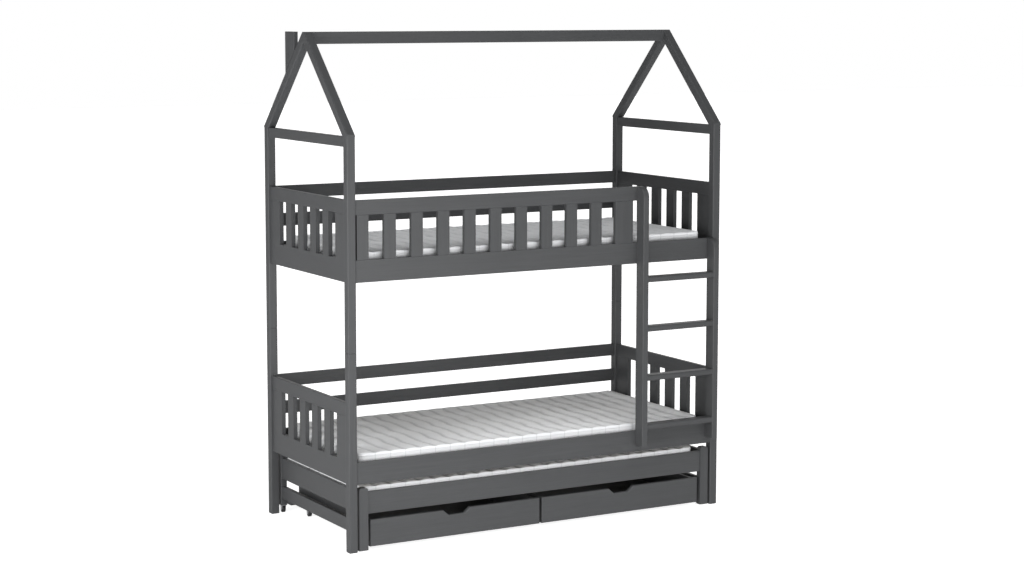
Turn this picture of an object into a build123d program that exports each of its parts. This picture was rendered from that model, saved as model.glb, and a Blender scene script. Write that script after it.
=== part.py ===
from build123d import *
import os

os.makedirs("parts", exist_ok=True)

# Bunk bed with a roof frame, a ladder, and a trundle bed with two drawers.
# X runs along the bed, Y from front to rear, Z up from the floor. The origin
# is on the floor, under the middle of the bed and its ladder.

# Overall sizes in millimetres
bed_length = 1980
bed_width = 900
lower_bed_height = 306
bed_spacing = 901
post_seam_height = 896
post_seam_chamfer = 1.5
post_top_height = 1848
roof_height = 2298

# Timber sections of the frame
post_size = 40
post_round = 4
foot_chamfer = 2
board_thickness = 20
board_inset = 4
board_round = 2
rail_height = 100

# End panels: a deep bottom board, a narrow top board and flush bars between
panel_height = 364
panel_top_board = 62
panel_slot_width = 71.5
panel_bar_width = 62
panel_slot_count = 5

# Guard along the front of the upper bed, open beside the ladder
guard_top_board = 66
guard_post_gap = 7
guard_first_bar = 57
guard_slot_count = 10
guard_slot_share = 0.571
guard_last_bar = 97
guard_stile_gap = 21.5

# Boards along the wall side
rear_board_height = 60
rear_board_gap = 71

# Slatted bases: ledgers on the rails carry cross slats
ledger_width = 20
ledger_height = 24
slat_width = 70
slat_thickness = 18
slat_count = 14
slat_end_gap = 0.5
slat_margin = 16

# Mattresses of the two beds
mattress_end_gap = 37.5
mattress_side_gap = 27.5
mattress_thickness = 87
mattress_shoulder = 16
mattress_crown = 5
mattress_drawn_in = 2.5
mattress_corner = 28
mattress_corner_share = 0.34
quilt_pitch = 74
quilt_depth = 4
soft_gap = 0.3

# Roof frame: ties between the post tops, sloped rafters and a ridge
tie_height = 45
tie_thickness = 30
rafter_heel = 10
rafter_flat = 10
slanting_share = 0.01
ridge_width = 30
ridge_height = 55
chimney_width = 100
chimney_thickness = 20
chimney_rear_offset = 252

# Ladder in front of the upper rail
stile_width = 30
stile_depth = 60
stile_round = 3
stile_top_round = 48
stile_foot_round = 10
stile_foot_rise = 31
ladder_right_inset = 40
rung_length = 373
rung_thickness = 27
rung_inset = 3
rung_round = 8
rung_spacing = 235
rung_count = 4
first_rung_rise = 110

# Wooden dowels, cam fittings and screws of the joints
dowel_radius = 4
dowel_length = 36
dowel_chamfer = 0.8
dowel_fit = 0.05
dowel_end_gap = 0.5
seam_dowel_radius = 8
seam_dowel_length = 80
rail_dowel_shares = (0.22, 0.78)
panel_dowel_shares = (0.36, 0.64)
middle_share = 0.5
cam_radius = 7.5
cam_depth = 12
cam_setback = 34
cam_slot_width = 1.6
cam_slot_depth = 1.5
cam_bolt_radius = 3
cam_bolt_anchor = 12
cam_bolt_gap = 0.3
screw_radius = 2.5
screw_head_radius = 4.5
screw_head_depth = 3
screw_length = 42
low_screw_shares = (0.64, 0.9)
high_screw_shares = (0.36, 0.64)
guard_screw_shares = (0.27, 0.73)

# Trundle bed that rolls out from under the lower bed
trundle_side_gap = 10
trundle_front_setback = 5
trundle_rear_room = 10
trundle_post_width = 44
trundle_post_depth = 30
trundle_rear_post = 30
trundle_post_top = 288
trundle_post_lift = 4
trundle_top_round = 12
trundle_rail_bottom = 168
trundle_rail_setback = 6
trundle_side_inset = 3
trundle_low_board_bottom = 70
trundle_low_board_height = 60
stop_rail_bottom = 42
stop_rail_height = 32
stop_rail_depth = 70
trundle_ledger_height = 14
trundle_slat_count = 13
trundle_mattress_left_gap = 0.5
trundle_mattress_right_gap = 43.5
trundle_mattress_side_gap = 7

# Roller casters with one fixed wheel each
caster_height = 38
caster_plate_thickness = 2
caster_plate_length = 36
caster_plate_width = 30
caster_cheek_thickness = 2
caster_cheek_top = 26
caster_cheek_radius = 7
caster_block = 40
wheel_radius = 16
wheel_width = 16
wheel_round = 3
wheel_side_gap = 0.5
wheel_recess_radius = 11
wheel_hub_radius = 6
wheel_recess_depth = 1.5
axle_radius = 3
axle_fit = 0.05
axle_head_radius = 5
axle_head_height = 1.2

# Two drawers side by side under the trundle's front rail
drawer_front_height = 122
drawer_front_thickness = 18
drawer_front_lift = 17
drawer_front_setback = 11
drawer_front_round = 4
drawer_gap = 12
drawer_end_gap = 13
drawer_board = 12
drawer_bottom = 6
drawer_side_height = 92
drawer_box_inset = 14
drawer_back_gap = 0.3
drawer_wheel_side = 31
drawer_wheel_front = 64
drawer_wheel_rear = 82
notch_top_width = 138
notch_bottom_width = 80
notch_depth = 24
notch_top_round = 8
notch_bottom_round = 14

# Places that follow from the sizes above
ladder_reach = stile_depth - board_inset
left = -bed_length / 2
right = bed_length / 2
rear = (bed_width + ladder_reach) / 2
front = rear - bed_width
middle_depth = (front + rear) / 2
upper_bed_height = lower_bed_height + bed_spacing
bed_heights = {"lower": lower_bed_height, "upper": upper_bed_height}
slat_top_rise = ledger_height + slat_thickness
panel_inset = (post_size - board_thickness) / 2
board_middle = board_inset + board_thickness / 2


def from_side(side, near, far):
    """X pair of a piece that lies between two distances from one end of the bed."""
    if side == "left":
        return (left + near, left + far)
    return (right - far, right - near)


def from_face(face, near, far):
    """Y pair of a piece that lies between two distances from the front or the rear."""
    if face == "front":
        return (front + near, front + far)
    return (rear - far, rear - near)


def middle(pair):
    """Middle of a pair of coordinates."""
    return (pair[0] + pair[1]) / 2


def at_share(low, size, share):
    """Height at a share of a board's height."""
    return low + size * share


def save(node, name):
    """Label one finished node and write its STEP file."""
    node.label = name
    export_step(node, "parts/" + name + ".step")


def group(solids):
    """Pieces that stay separate solids in one node."""
    return Compound(children=list(solids))


def plank(x, y, z, grain=None, radius=board_round):
    """Straight board between three pairs, its edges along the grain eased."""
    with BuildPart() as piece:
        with BuildSketch(Plane.XY.offset(z[0])):
            with Locations((middle(x), middle(y))):
                Rectangle(x[1] - x[0], y[1] - y[0])
        extrude(amount=z[1] - z[0])
        if grain is not None:
            fillet(piece.edges().filter_by(grain), radius)
    return piece.part


def pin(place, direction, radius, length, chamfer_size=0):
    """Round pin centred on a point, with chamfered ends when asked."""
    with BuildPart() as piece:
        with BuildSketch(Plane(origin=place, z_dir=direction)):
            Circle(radius)
        extrude(amount=length / 2, both=True)
        if chamfer_size:
            chamfer(piece.edges().filter_by(GeomType.CIRCLE), chamfer_size)
    return piece.part


def reaches(board, place, direction, radius, length):
    """Whether a pin along a main axis comes within the outer limits of the board."""
    box = board.bounding_box()
    low = (box.min.X, box.min.Y, box.min.Z)
    high = (box.max.X, box.max.Y, box.max.Z)
    for axis in range(len(place)):
        slack = length / 2 if direction[axis] else radius
        if place[axis] + slack <= low[axis] or place[axis] - slack >= high[axis]:
            return False
    return True


def drilled(board, dowels):
    """The board with a bore for each dowel that enters it."""
    with BuildPart() as piece:
        add(board)
        for place, direction, radius, length in dowels:
            if reaches(board, place, direction, radius, length):
                with BuildSketch(Plane(origin=place, z_dir=direction)):
                    Circle(radius + dowel_fit)
                extrude(amount=length / 2 + dowel_end_gap, both=True, mode=Mode.SUBTRACT)
    return piece.part


along_x = (1, 0, 0)
along_y = (0, 1, 0)
along_z = (0, 0, 1)
sides = ("left", "right")
faces = ("front", "rear")

# Boards that end at a post, as height of the underside, height and dowel shares
rear_upper_board = upper_bed_height + panel_height - rear_board_height
rear_lower_board = lower_bed_height + panel_height - rear_board_height
rear_board_step = rear_board_height + rear_board_gap
rear_board_bottoms = (
    rear_lower_board - rear_board_step,
    rear_lower_board,
    rear_upper_board - rear_board_step,
    rear_upper_board,
)
guard_board_bottom = upper_bed_height + panel_height - guard_top_board

# Dowels of the frame, as middle, direction, radius and length
frame_dowels = []


def frame_dowel(place, direction):
    frame_dowels.append((place, direction, dowel_radius, dowel_length))


for side in sides:
    inner_x = from_side(side, post_size, post_size)[0]
    post_x = middle(from_side(side, 0, post_size))
    for face in faces:
        board_y = from_face(face, board_middle, board_middle)[0]
        inner_y = from_face(face, post_size, post_size)[0]
        post_y = middle(from_face(face, 0, post_size))
        for bottom in bed_heights.values():
            for share in rail_dowel_shares:
                frame_dowel((inner_x, board_y, at_share(bottom, rail_height, share)), along_x)
            for share in panel_dowel_shares:
                frame_dowel((post_x, inner_y, at_share(bottom, rail_height, share)), along_y)
            panel_top = bottom + panel_height
            frame_dowel((post_x, inner_y, panel_top - panel_top_board / 2), along_y)
        frame_dowel((post_x, inner_y, post_top_height - tie_height / 2), along_y)
        frame_dowel((post_x, post_y, post_top_height), along_z)
    rear_y = from_face("rear", board_middle, board_middle)[0]
    for bottom in rear_board_bottoms:
        frame_dowel((inner_x, rear_y, bottom + rear_board_height / 2), along_x)
guard_y = from_face("front", board_middle, board_middle)[0]
frame_dowel((left + post_size, guard_y, guard_board_bottom + guard_top_board / 2), along_x)

# Long dowels that hold the upper posts on the lower ones
for side in sides:
    for face in faces:
        seam_place = (
            middle(from_side(side, 0, post_size)),
            middle(from_face(face, 0, post_size)),
            post_seam_height,
        )
        frame_dowels.append((seam_place, along_z, seam_dowel_radius, seam_dowel_length))

# Ladder places, used by the stiles, the rungs and their dowels
right_stile_x = (right - ladder_right_inset - stile_width, right - ladder_right_inset)
rung_x = (right_stile_x[0] - rung_length, right_stile_x[0])
left_stile_x = (rung_x[0] - stile_width, rung_x[0])
ladder_y = (front - ladder_reach, front + board_inset)
rung_y = (ladder_y[0] + rung_inset, ladder_y[1] - rung_inset)
stile_foot = lower_bed_height + stile_foot_rise
guard_top_height = upper_bed_height + panel_height
upper_rail_top = upper_bed_height + rail_height
rung_bottoms = [
    lower_bed_height + first_rung_rise + number * rung_spacing for number in range(rung_count)
]
for bottom in rung_bottoms:
    for end in rung_x:
        frame_dowel((end, middle(ladder_y), bottom + rung_thickness / 2), along_x)

# Dowels at the apex of each gable, at the ridge ends and under the chimney
for side in sides:
    post_x = middle(from_side(side, 0, post_size))
    ridge_end = from_side(side, post_size, post_size)[0]
    frame_dowel((post_x, middle_depth, roof_height - post_size / 2), along_y)
    frame_dowel((ridge_end, middle_depth, roof_height - post_size * 3 / 4), along_x)


# Cam bolts run from the posts into the rail ends, where a cam lock holds each one
def cam_place(side, face, bottom):
    """Middle of a cam lock's bolt hole in a rail end."""
    x = from_side(side, post_size + cam_setback, post_size + cam_setback)[0]
    y = from_face(face, board_middle, board_middle)[0]
    return (x, y, bottom + rail_height / 2)


def cam_bolt(side, face, bottom):
    """Middle and length of a cam bolt, from its anchor in the post to its lock."""
    start = post_size - cam_bolt_anchor
    end = post_size + cam_setback - cam_radius - cam_bolt_gap
    y = from_face(face, board_middle, board_middle)[0]
    return ((middle(from_side(side, start, end)), y, bottom + rail_height / 2), end - start)


def cam_lock_y(face):
    """Y pair of a cam lock, flush with the inner face of the rail."""
    inner = board_inset + board_thickness
    return from_face(face, inner - cam_depth, inner)


cam_bolts = []
for side in sides:
    for face in faces:
        for bottom in bed_heights.values():
            bolt_place, bolt_length = cam_bolt(side, face, bottom)
            cam_bolts.append((bolt_place, along_x, cam_bolt_radius, bolt_length))

# Screws that hold the ladder, driven from the inner face of the rails and the guard
screw_places = []
for stile_x in (left_stile_x, right_stile_x):
    for share in low_screw_shares:
        screw_places.append((middle(stile_x), at_share(lower_bed_height, rail_height, share)))
    for share in high_screw_shares:
        screw_places.append((middle(stile_x), at_share(upper_bed_height, rail_height, share)))
for share in guard_screw_shares:
    screw_places.append((middle(left_stile_x), at_share(guard_board_bottom, guard_top_board, share)))
screw_face = front + board_inset + board_thickness


def screw(x, z, growth=0):
    """Countersunk screw, flush with the inner face of the rail, or its hole when grown."""
    with BuildPart() as piece:
        with BuildSketch(Plane(origin=(x, screw_face, z), x_dir=along_x, z_dir=along_z)):
            with BuildLine():
                Polyline(
                    (0, 0),
                    (screw_head_radius + growth, 0),
                    (screw_radius + growth, -screw_head_depth),
                    (screw_radius + growth, -screw_length - growth),
                    (0, -screw_length - growth),
                    close=True,
                )
            make_face()
        revolve(axis=Axis((x, screw_face, z), along_y))
    return piece.part


def screwed(board):
    """The board with a countersunk hole for each ladder screw that enters it."""
    with BuildPart() as piece:
        add(board)
        for x, z in screw_places:
            place = (x, screw_face - screw_length / 2, z)
            if reaches(board, place, along_y, screw_head_radius, screw_length):
                add(screw(x, z, dowel_fit), mode=Mode.SUBTRACT)
    return piece.part


# Posts in two lengths, one on the other
def post(side, face, z):
    """One post length with rounded corners."""
    x = from_side(side, 0, post_size)
    y = from_face(face, 0, post_size)
    return plank(x, y, z, Axis.Z, post_round)


for side in sides:
    for face in faces:
        with BuildPart() as lower_post:
            add(post(side, face, (0, post_seam_height)))
            chamfer(lower_post.faces().sort_by(Axis.Z)[0].edges(), foot_chamfer)
            chamfer(lower_post.faces().sort_by(Axis.Z)[-1].edges(), post_seam_chamfer)
        save(drilled(lower_post.part, frame_dowels + cam_bolts), f"post_lower_{face}_{side}")
        with BuildPart() as upper_post:
            add(post(side, face, (post_seam_height, post_top_height)))
            chamfer(upper_post.faces().sort_by(Axis.Z)[0].edges(), post_seam_chamfer)
        save(drilled(upper_post.part, frame_dowels + cam_bolts), f"post_upper_{face}_{side}")


# Side rails, with cam locks let into their inner faces
def side_rail(face, bottom):
    """Long rail between the posts, drilled for its dowels, cams and screws."""
    x = (left + post_size, right - post_size)
    y = from_face(face, board_inset, board_inset + board_thickness)
    rail = plank(x, y, (bottom, bottom + rail_height), Axis.X)
    lock_y = cam_lock_y(face)
    with BuildPart() as piece:
        add(drilled(rail, frame_dowels + cam_bolts))
        for side in sides:
            lock_x, _, lock_z = cam_place(side, face, bottom)
            lock_middle = (lock_x, middle(lock_y), lock_z)
            with BuildSketch(Plane(origin=lock_middle, z_dir=along_y)):
                Circle(cam_radius + dowel_fit)
            extrude(amount=cam_depth / 2 + dowel_fit, both=True, mode=Mode.SUBTRACT)
    if face == "front":
        return screwed(piece.part)
    return piece.part


for level, bottom in bed_heights.items():
    for face in faces:
        save(side_rail(face, bottom), f"side_rail_{level}_{face}")


# End panels, flush bars between a deep and a narrow board
def end_panel(side, bottom):
    """Boards and bars that leave a row of upright slots."""
    x = from_side(side, panel_inset, panel_inset + board_thickness)
    y = (front + post_size, rear - post_size)
    bar_z = (bottom + rail_height, bottom + panel_height - panel_top_board)
    low_board = plank(x, y, (bottom, bar_z[0]))
    top_board = plank(x, y, (bar_z[1], bottom + panel_height), Axis.Y)
    slot_pitch = panel_slot_width + panel_bar_width
    slots_width = panel_slot_count * slot_pitch - panel_bar_width
    first_slot = middle_depth - slots_width / 2
    solids = [drilled(low_board, frame_dowels), drilled(top_board, frame_dowels)]
    solids.append(plank(x, (y[0], first_slot), bar_z))
    for number in range(1, panel_slot_count):
        bar_end = first_slot + number * slot_pitch
        solids.append(plank(x, (bar_end - panel_bar_width, bar_end), bar_z))
    solids.append(plank(x, (first_slot + slots_width, y[1]), bar_z))
    return group(solids)


for level, bottom in bed_heights.items():
    for side in sides:
        save(end_panel(side, bottom), f"end_panel_{level}_{side}")

# Guard of the upper bed, its bars standing on the front rail
guard_board_y = from_face("front", board_inset, board_inset + board_thickness)
guard_bar_z = (upper_rail_top, guard_board_bottom)
guard_board = plank(
    (left + post_size, left_stile_x[1]), guard_board_y, (guard_bar_z[1], guard_top_height), Axis.X
)
guard_solids = [screwed(drilled(guard_board, frame_dowels))]
bar_start = left + post_size + guard_post_gap
bar_end = bar_start + guard_first_bar
last_bar_start = left_stile_x[0] - guard_stile_gap - guard_last_bar
guard_solids.append(plank((bar_start, bar_end), guard_board_y, guard_bar_z))
guard_pitch = (last_bar_start - bar_end) / (guard_slot_count - 1 + guard_slot_share)
guard_slot = guard_pitch * guard_slot_share
for number in range(1, guard_slot_count):
    bar_start = bar_end + guard_slot
    bar_end = bar_end + guard_pitch
    guard_solids.append(plank((bar_start, bar_end), guard_board_y, guard_bar_z))
last_bar_x = (last_bar_start, last_bar_start + guard_last_bar)
guard_solids.append(plank(last_bar_x, guard_board_y, guard_bar_z))
save(group(guard_solids), "guard_panel")

# Boards on the wall side, two over each bed
rear_boards = []
rear_board_x = (left + post_size, right - post_size)
rear_board_y = from_face("rear", board_inset, board_inset + board_thickness)
for bottom in rear_board_bottoms:
    rear_board = plank(rear_board_x, rear_board_y, (bottom, bottom + rear_board_height), Axis.X)
    rear_boards.append(drilled(rear_board, frame_dowels))
save(group(rear_boards), "rear_boards")


# Slatted bases
def slat_row(x, y, bottom, count):
    """Cross slats, evenly spaced between two ends."""
    gap = (x[1] - x[0] - count * slat_width) / (count - 1)
    row = []
    for number in range(count):
        start = x[0] + number * (slat_width + gap)
        slat_y = (y[0] + slat_end_gap, y[1] - slat_end_gap)
        row.append(plank((start, start + slat_width), slat_y, (bottom, bottom + slat_thickness)))
    return row


def ledgers(x, y, bottom, height):
    """Pair of strips along the inner faces of the rails."""
    z = (bottom, bottom + height)
    return [
        plank(x, (y[0], y[0] + ledger_width), z),
        plank(x, (y[1] - ledger_width, y[1]), z),
    ]


base_y = (front + board_inset + board_thickness, rear - board_inset - board_thickness)
base_x = (left + post_size + slat_margin, right - post_size - slat_margin)
for level, bottom in bed_heights.items():
    base = ledgers((left + post_size, right - post_size), base_y, bottom, ledger_height)
    base += slat_row(base_x, base_y, bottom + ledger_height, slat_count)
    save(group(base), f"slat_base_{level}")


# Mattresses
def mattress(x, y, bottom):
    """Quilted mattress: crowned top, drawn-in sides and sewn channels across it."""
    shoulder_z = bottom + mattress_thickness - mattress_crown - mattress_shoulder / 2
    channel_z = bottom + mattress_thickness - mattress_crown
    top_z = bottom + mattress_thickness
    waist_z = (bottom + shoulder_z) / 2
    corner_depth = mattress_corner_share * mattress_corner
    quilted = x[1] - x[0] - 2 * mattress_shoulder
    count = round(quilted / quilt_pitch)
    pitch = quilted / count
    with BuildPart() as piece:
        with BuildSketch(Plane.XZ.offset(-y[1])):
            with BuildLine():
                Line((x[0], bottom), (x[1], bottom))
                ThreePointArc((x[1], bottom), (x[1] - mattress_drawn_in, waist_z), (x[1], shoulder_z))
                Line((x[1], shoulder_z), (x[1] - mattress_shoulder, channel_z))
                for number in range(count):
                    end = x[1] - mattress_shoulder - number * pitch
                    ThreePointArc(
                        (end, channel_z),
                        (end - pitch / 2, channel_z + quilt_depth),
                        (end - pitch, channel_z),
                    )
                Line((x[0] + mattress_shoulder, channel_z), (x[0], shoulder_z))
                ThreePointArc((x[0], shoulder_z), (x[0] + mattress_drawn_in, waist_z), (x[0], bottom))
            make_face()
        extrude(amount=y[1] - y[0])
        with BuildSketch(Plane.YZ.offset(x[0])):
            with BuildLine():
                Line((y[0], bottom), (y[1], bottom))
                ThreePointArc((y[1], bottom), (y[1] - mattress_drawn_in, waist_z), (y[1], shoulder_z))
                Line((y[1], shoulder_z), (y[1] - mattress_shoulder, channel_z))
                ThreePointArc(
                    (y[1] - mattress_shoulder, channel_z),
                    (middle(y), top_z),
                    (y[0] + mattress_shoulder, channel_z),
                )
                Line((y[0] + mattress_shoulder, channel_z), (y[0], shoulder_z))
                ThreePointArc((y[0], shoulder_z), (y[0] + mattress_drawn_in, waist_z), (y[0], bottom))
            make_face()
        extrude(amount=x[1] - x[0], mode=Mode.INTERSECT)
        with BuildSketch(Plane.XY.offset(bottom)):
            with BuildLine():
                for end, inward in ((x[0], 1), (x[1], -1)):
                    Line((end, y[0] + mattress_corner), (end, y[1] - mattress_corner))
                    for edge, onward in ((y[0], 1), (y[1], -1)):
                        ThreePointArc(
                            (end, edge + onward * mattress_corner),
                            (end + inward * corner_depth, edge + onward * corner_depth),
                            (end + inward * mattress_corner, edge),
                        )
                for edge in y:
                    Line((x[0] + mattress_corner, edge), (x[1] - mattress_corner, edge))
            make_face()
        extrude(amount=top_z - bottom, mode=Mode.INTERSECT)
    return piece.part


mattress_x = (left + post_size + mattress_end_gap, right - post_size - mattress_end_gap)
mattress_y = (base_y[0] + mattress_side_gap, base_y[1] - mattress_side_gap)
for level, bottom in bed_heights.items():
    resting = bottom + slat_top_rise + soft_gap
    save(mattress(mattress_x, mattress_y, resting), f"mattress_{level}")

# Ties across the post tops
for side in sides:
    tie_inset = (post_size - tie_thickness) / 2
    tie_x = from_side(side, tie_inset, tie_inset + tie_thickness)
    tie_z = (post_top_height - tie_height, post_top_height)
    tie = plank(tie_x, (front + post_size, rear - post_size), tie_z, Axis.Y)
    save(drilled(tie, frame_dowels), f"gable_tie_{side}")

# Rafters: square timbers that slope from the posts to a plumb cut at the apex
half_width = bed_width / 2
slope_rise = post_top_height + rafter_heel
slope = (roof_height - slope_rise) / (half_width - rafter_flat)
slope_drop = post_size * (1 + slope**2) ** 0.5
chimney_y = (rear - chimney_rear_offset - chimney_width, rear - chimney_rear_offset)
chimney_x = (left, left + chimney_thickness)


def roof_line(distance):
    """Height of the upper side of a rafter at a distance from the front or the rear."""
    return slope_rise + slope * distance


def slanting(edge):
    """Whether an edge runs along the slope of the roof."""
    along = edge.tangent_at(0)
    return abs(along.Y * along.Z) > slanting_share


frame_dowel(
    (middle(chimney_x), middle(chimney_y), roof_line(rear - middle(chimney_y))), along_z
)


def rafter(side, face):
    """One rafter, from its foot on the post to the middle of the gable."""
    inward = 1 if face == "front" else -1
    outer = front if face == "front" else rear
    outline = [
        (0, post_top_height),
        (0, slope_rise),
        (half_width - rafter_flat, roof_height),
        (half_width, roof_height),
        (half_width, roof_line(half_width) - slope_drop),
        ((slope_drop - rafter_heel) / slope, post_top_height),
    ]
    x = from_side(side, 0, post_size)
    with BuildPart() as piece:
        with BuildSketch(Plane.YZ.offset(x[0])):
            with BuildLine():
                Polyline(*[(outer + inward * y, z) for y, z in outline], close=True)
            make_face()
        extrude(amount=post_size)
        fillet(piece.edges().filter_by(slanting), post_round)
    return drilled(piece.part, frame_dowels)


for side in sides:
    save(group([rafter(side, face) for face in faces]), f"rafters_{side}")

# Ridge beam between the two gables
ridge_y = (middle_depth - ridge_width / 2, middle_depth + ridge_width / 2)
ridge = plank(
    (left + post_size, right - post_size), ridge_y, (roof_height - ridge_height, roof_height), Axis.X
)
save(drilled(ridge, frame_dowels), "ridge_beam")

# Chimney board, cut to the slope of the rear rafter
with BuildPart() as chimney_board:
    with BuildSketch(Plane.YZ.offset(chimney_x[0])):
        with BuildLine():
            Polyline(
                (chimney_y[0], roof_line(rear - chimney_y[0])),
                (chimney_y[0], roof_height),
                (chimney_y[1], roof_height),
                (chimney_y[1], roof_line(rear - chimney_y[1])),
                close=True,
            )
        make_face()
    extrude(amount=chimney_thickness)
    fillet(chimney_board.edges().filter_by(Axis.Z), board_round)
save(drilled(chimney_board.part, frame_dowels), "chimney_board")


# Ladder stiles with a rounded front corner at the top
def stile(x, top):
    """Upright board of the ladder, set against the faces of the rails."""
    with BuildPart() as piece:
        with BuildSketch(Plane.YZ.offset(x[0])):
            with BuildLine():
                Polyline(
                    (ladder_y[0], stile_foot),
                    (ladder_y[0], top),
                    (ladder_y[1], top),
                    (ladder_y[1], stile_foot),
                    close=True,
                )
            face = make_face()
            corners = face.vertices().group_by(Axis.X)[0].sort_by(Axis.Y)
            fillet(corners[-1], stile_top_round)
            fillet(corners[0], stile_foot_round)
        extrude(amount=x[1] - x[0])
        for side_face in (piece.faces().sort_by(Axis.X)[0], piece.faces().sort_by(Axis.X)[-1]):
            fronts = side_face.edges().filter_by(lambda edge: edge.center().Y < ladder_y[1] - stile_round)
            fillet(fronts, stile_round)
    return screwed(drilled(piece.part, frame_dowels))


save(stile(left_stile_x, guard_top_height), "ladder_stile_left")
save(stile(right_stile_x, upper_rail_top), "ladder_stile_right")

# Rungs between the stiles
rungs = []
for bottom in rung_bottoms:
    rung = plank(rung_x, rung_y, (bottom, bottom + rung_thickness), Axis.X, rung_round)
    rungs.append(drilled(rung, frame_dowels))
save(group(rungs), "ladder_rungs")

# Hardware of the frame
save(group([pin(*dowel, dowel_chamfer) for dowel in frame_dowels]), "frame_dowels")

cam_fittings = [pin(*bolt) for bolt in cam_bolts]
for side in sides:
    for face in faces:
        for bottom in bed_heights.values():
            lock_x, _, lock_z = cam_place(side, face, bottom)
            lock_y = cam_lock_y(face)
            inner_face = lock_y[1] if face == "front" else lock_y[0]
            with BuildPart() as cam_lock:
                add(pin((lock_x, middle(lock_y), lock_z), along_y, cam_radius, cam_depth))
                with BuildSketch(Plane(origin=(lock_x, inner_face, lock_z), z_dir=along_y)):
                    Rectangle(cam_radius, cam_slot_width)
                extrude(amount=cam_slot_depth, both=True, mode=Mode.SUBTRACT)
            cam_fittings.append(cam_lock.part)
save(group(cam_fittings), "cam_fittings")

save(group([screw(x, z) for x, z in screw_places]), "ladder_screws")

# Trundle places
trundle_x = (left + post_size + trundle_side_gap, right - post_size - trundle_side_gap)
trundle_y = (front + trundle_front_setback, rear - trundle_rear_room)
trundle_rail_top = trundle_rail_bottom + rail_height
rear_post_y = (trundle_y[1] - trundle_rear_post, trundle_y[1])
front_post_y = (trundle_y[0], trundle_y[0] + trundle_post_depth)
front_rail_y = (trundle_y[0] + trundle_rail_setback, trundle_y[0] + trundle_rail_setback + board_thickness)
rear_rail_middle = middle(rear_post_y)
rear_rail_y = (rear_rail_middle - board_thickness / 2, rear_rail_middle + board_thickness / 2)
front_rail_x = (trundle_x[0] + trundle_post_width, trundle_x[1] - trundle_post_width)
rear_rail_x = (trundle_x[0] + trundle_rear_post, trundle_x[1] - trundle_rear_post)
low_board_z = (trundle_low_board_bottom, trundle_low_board_bottom + trundle_low_board_height)
rail_z = (trundle_rail_bottom, trundle_rail_top)
stop_rail_z = (stop_rail_bottom, stop_rail_bottom + stop_rail_height)
stop_rail_y = (rear_rail_y[1] - stop_rail_depth, rear_rail_y[1])
side_board_x = {
    "left": (trundle_x[0] + trundle_side_inset, trundle_x[0] + trundle_side_inset + board_thickness),
    "right": (trundle_x[1] - trundle_side_inset - board_thickness, trundle_x[1] - trundle_side_inset),
}

# Dowels of the trundle
trundle_dowels = []


def trundle_dowel(place, direction):
    trundle_dowels.append((place, direction, dowel_radius, dowel_length))


for end in range(len(sides)):
    board_x = middle(side_board_x[sides[end]])
    for share in rail_dowel_shares:
        height = at_share(trundle_rail_bottom, rail_height, share)
        trundle_dowel((front_rail_x[end], middle(front_rail_y), height), along_x)
        trundle_dowel((rear_rail_x[end], middle(rear_rail_y), height), along_x)
    for share in panel_dowel_shares:
        height = at_share(trundle_rail_bottom, rail_height, share)
        trundle_dowel((board_x, front_post_y[1], height), along_y)
        trundle_dowel((board_x, rear_post_y[0], height), along_y)
    trundle_dowel((board_x, front_post_y[1], middle(low_board_z)), along_y)
    trundle_dowel((board_x, rear_post_y[0], middle(low_board_z)), along_y)
    trundle_dowel((rear_rail_x[end], middle(rear_rail_y), middle(stop_rail_z)), along_x)


# Trundle posts: broad ones in front, and square ones over the rear casters
def rounded_top(post_part, radius):
    """The post with the two ends of its top rounded."""
    with BuildPart() as piece:
        add(post_part)
        top = piece.faces().sort_by(Axis.Z)[-1]
        fillet(top.edges().filter_by(Axis.Y), radius)
    return piece.part


trundle_posts = []
for end in range(len(sides)):
    outward = -1 if end == 0 else 1
    front_x = sorted((trundle_x[end], trundle_x[end] - outward * trundle_post_width))
    rear_x = sorted((trundle_x[end], trundle_x[end] - outward * trundle_rear_post))
    front_post = plank(front_x, front_post_y, (trundle_post_lift, trundle_post_top))
    rear_post = plank(rear_x, rear_post_y, (caster_height, trundle_post_top), Axis.Z, board_round)
    block_x = sorted((side_board_x[sides[end]][end], side_board_x[sides[end]][end] - outward * caster_block))
    block_y = (front_post_y[1], front_post_y[1] + caster_block)
    caster_block_part = plank(block_x, block_y, (caster_height, low_board_z[0]))
    trundle_posts.append(drilled(rounded_top(front_post, trundle_top_round), trundle_dowels))
    trundle_posts.append(drilled(rear_post, trundle_dowels))
    trundle_posts.append(caster_block_part)
save(group(trundle_posts), "trundle_posts")

# Trundle rails: one in front, one at the rear, and a low one laid flat that stops the drawers
trundle_rails = [
    drilled(plank(front_rail_x, front_rail_y, rail_z, Axis.X), trundle_dowels),
    drilled(plank(rear_rail_x, rear_rail_y, rail_z, Axis.X), trundle_dowels),
    drilled(plank(rear_rail_x, stop_rail_y, stop_rail_z, Axis.X), trundle_dowels),
]
save(group(trundle_rails), "trundle_rails")

# Trundle side boards, a deep one over a low one at each end
side_boards = []
side_board_y = (front_post_y[1], rear_post_y[0])
for side in sides:
    for board_z in (rail_z, low_board_z):
        side_board = plank(side_board_x[side], side_board_y, board_z, Axis.Y)
        side_boards.append(drilled(side_board, trundle_dowels))
save(group(side_boards), "trundle_side_boards")

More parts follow.
